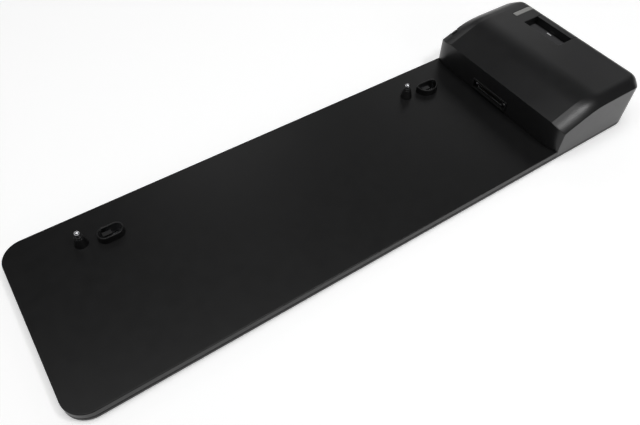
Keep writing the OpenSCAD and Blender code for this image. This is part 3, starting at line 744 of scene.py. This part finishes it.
def make_post(side):
    """A turned sleeve with a ring at its top, and the steel post in it."""
    tray_top = box_mm("tray_cover")[1].z
    low, high = box_mm(f"post_sleeve_{side}")
    at = (low + high) / 2
    flange_r = (high.x - low.x) / 2
    under = tray_top - TRAY_PLATE
    shoulder = high.z - RING_HEIGHT
    edge = 0.45
    fillet = 0.3
    sleeve = [(BORE_R, low.z), (flange_r, low.z), (flange_r, under), (SLEEVE_R, under),
              (SLEEVE_R, tray_top), (SLEEVE_R - 0.12, tray_top + 0.5),
              *arc_points((SLEEVE_TIP_R - edge, shoulder - edge), edge, 12, 70, 5),
              (RING_R - 0.1, shoulder), (RING_R, shoulder + 0.15),
              *arc_points((RING_R - fillet, high.z - fillet), fillet, 0, 90, 4),
              (BORE_R, high.z)]
    finish_piece(f"post_sleeve_{side}_turned", lathe_solid(at, sleeve, hollow=True),
                 f"post_sleeve_{side}")
    pin_low, pin_high = box_mm(f"align_post_{side}")
    tip_r = (pin_high.x - pin_low.x) / 2
    # the dome ends in a tiny flat, a little short of its pole
    pin = [(BORE_R, pin_low.z), (BORE_R, high.z), (tip_r, high.z),
           *arc_points((0, pin_high.z - tip_r), tip_r, 0, 88, 12)]
    finish_piece(f"align_post_{side}_turned", lathe_solid(at, pin, hollow=False),
                 f"align_post_{side}")


def stadium_outline(centre, length, width):
    """Gives the outline of a round-ended slot at an inset and a height."""
    reach = (length - width) / 2

    def outline(inset, z):
        radius = width / 2 - inset
        right = arc_points((centre.x + reach, centre.y), radius, -90, 90, 24)
        left = arc_points((centre.x - reach, centre.y), radius, 90, 270, 24)
        return [(x, y, z) for x, y in right + left]
    return outline


def half_moon_outline(centre, length, width):
    """Gives the outline of a half-moon with a straight rear edge."""
    bow_height = width - 2
    round_r = ((length / 2) ** 2 + bow_height ** 2) / (2 * bow_height)
    # the higher, the sharper the corners
    softness = 5
    far = 99

    def outline(inset, z):
        points = []
        for i in range(96):
            a = math.tau * i / 96
            c, s = math.cos(a), math.sin(a)
            # distance to the bow, by the law of cosines, and to the straight edges
            off = round_r - width / 2
            bow = off * s + math.sqrt((round_r - inset) ** 2 - (off * c) ** 2)
            flat = (width / 2 - inset) / s if s > 0.05 else far
            end = (length / 2 - inset) / abs(c) if abs(c) > 0.05 else far
            reach = sum(d ** -softness for d in (bow, flat, end)) ** (-1 / softness)
            points.append((centre.x + reach * c, centre.y + reach * s, z))
        return points
    return outline


def collar_centre(side):
    """The middle of a collar's box."""
    low, high = box_mm(f"latch_collar_{side}")
    return (low + high) / 2


# Collars' length and width in plan, the rim's thickness, and the flange under the plate
COLLAR_LEFT = (16.2, 9.8)
COLLAR_RIGHT = (19.4, 10.8)
COLLAR_RIM = 1.3
COLLAR_FLANGE = 1.2
COLLAR_OUTLINES = {"left": stadium_outline(collar_centre("left"), *COLLAR_LEFT),
                   "right": half_moon_outline(collar_centre("right"), *COLLAR_RIGHT)}


def make_collar(side):
    """A hollow collar with a flange under the tray's plate and a rounded rim."""
    tray_top = box_mm("tray_cover")[1].z
    low, high = box_mm(f"latch_collar_{side}")
    outline = COLLAR_OUTLINES[side]
    under = tray_top - TRAY_PLATE
    edge = 0.5
    draft = 0.15
    top = high.z - edge
    profile = [(-COLLAR_FLANGE, low.z), (-COLLAR_FLANGE, under), (0, under),
               (0, tray_top + 0.3), (draft, top)]
    profile += arc_points((draft + edge, top), edge, 165, 90, 5)
    profile += arc_points((COLLAR_RIM - edge, top), edge, 90, 0, 5)
    profile += [(COLLAR_RIM, low.z)]
    rings = [outline(inset, z) for inset, z in profile]
    finish_piece(f"latch_collar_{side}_moulded", ring_solid(rings, hollow=True),
                 f"latch_collar_{side}")


# ---- the scene ----

# Bevel widths of CAD nodes that keep their mesh
SOFT_EDGES = {"base_shell": 0.5, "connector_bezel": 0.22, "slider_cap": 0.3, "power_button": 0.25,
              "slider_mark": 0.08, "rubber_feet": 0.3, "slider_well": 0.15,
              "connector_shell": 0.1, "cable_lock_plate": 0.1}

make_camera()
make_floor()
make_light()
paint_frame()
make_housing()
make_tray()
for side in ("left", "right"):
    make_post(side)
    make_collar(side)
for node, width in SOFT_EDGES.items():
    soften(node, width)
